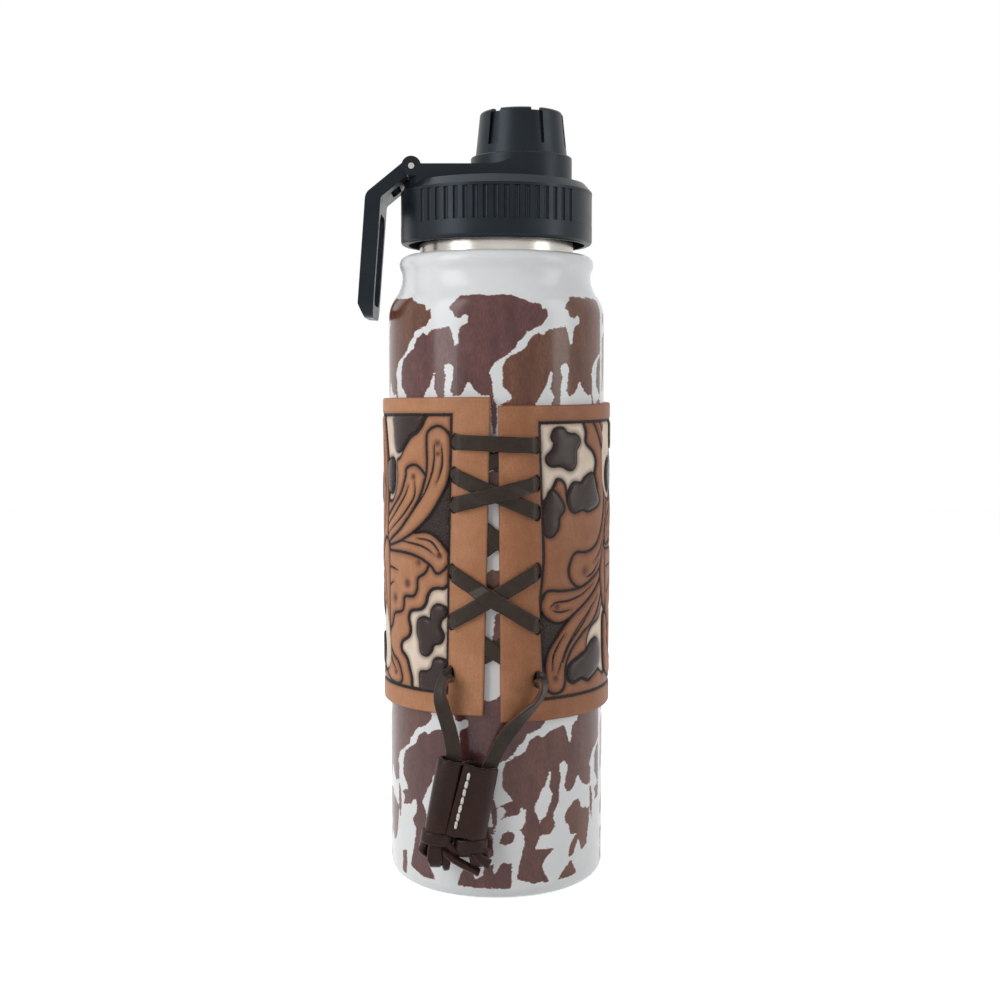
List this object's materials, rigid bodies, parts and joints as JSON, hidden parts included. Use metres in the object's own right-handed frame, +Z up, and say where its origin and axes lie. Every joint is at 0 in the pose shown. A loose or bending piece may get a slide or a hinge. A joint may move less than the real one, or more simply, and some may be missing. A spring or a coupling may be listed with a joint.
{
  "type": "insulated water bottle",
  "caption": "Insulated steel water bottle with a screw lid, capped spout and swinging carry handle, in a tooled leather sleeve laced down the front.",
  "frame": {"origin": "middle of the foot, on the bottle's axis, at the level of the surface that it stands on", "axes": "+Z up along the bottle's axis; -Y is the laced front; the carry handle hangs at -X"},
  "size_m": [0.0847, 0.0842, 0.2588],
  "materials": {
    "coat": "glossy white coat with a brown hide-spot print",
    "steel": "polished stainless steel",
    "sleeve_leather": "tan vegetable-tanned leather, carved and stained",
    "lace_leather": "dark brown leather lace",
    "thread": "waxed white thread",
    "lid_plastic": "satin black moulded plastic",
    "silicone": "translucent white silicone",
    "pad_rubber": "soft black rubber"
  },
  "bodies": {
    "bottle": {"bottle_shell": "coat", "pressure_disc": "steel", "vacuum_seal": "steel", "base_plate": "steel", "inner_flask": "steel", "leather_sleeve": "sleeve_leather", "lacing": "lace_leather", "lace_tail_left": "lace_leather", "lace_tail_right": "lace_leather", "lace_end_left": "lace_leather", "lace_end_right": "lace_leather"},
    "keeper": {"lace_slider": "lace_leather", "slider_stitches": "thread"},
    "neck_seal": {"lid_seal": "silicone"},
    "lid": {"lid_body": "lid_plastic", "grip_band": "lid_plastic", "lid_core": "lid_plastic", "hinge_pin": "steel"},
    "spout_seal": {"cap_seal": "silicone"},
    "cap": {"spout_cap": "lid_plastic"},
    "handle": {"carry_handle": "lid_plastic", "handle_pads": "pad_rubber"}
  },
  "joints": [
    {"name": "lid_lift", "type": "slide", "parent": "bottle", "child": "neck_seal", "axis": [0, 0, 1], "range_m": [0, 0.008]},
    {"name": "lid_turn", "type": "hinge", "parent": "neck_seal", "child": "lid", "pos_m": [0, 0, 0.231], "axis": [0, 0, 1], "range_deg": [0, 720]},
    {"name": "cap_lift", "type": "slide", "parent": "lid", "child": "spout_seal", "axis": [0, 0, 1], "range_m": [0, 0.0075]},
    {"name": "cap_turn", "type": "hinge", "parent": "spout_seal", "child": "cap", "pos_m": [0.0084, 0, 0.2573], "axis": [0, 0, 1], "range_deg": [0, 540]},
    {"name": "handle_swing", "type": "hinge", "parent": "lid", "child": "handle", "pos_m": [-0.0278, 0, 0.23898], "axis": [0, 1, 0], "range_deg": [0, 180]},
    {"name": "keeper_slide", "type": "slide", "parent": "bottle", "child": "keeper", "axis": [0.1822, 0, 0.9833], "range_m": [0, 0.008], "deforming": ["lace_tail_left", "lace_tail_right"]}
  ],
  "couplings": [
    {"joint": "lid_lift", "follows": "lid_turn", "m_per_rad": 0.0006366},
    {"joint": "cap_lift", "follows": "cap_turn", "m_per_rad": 0.00079577}
  ]
}
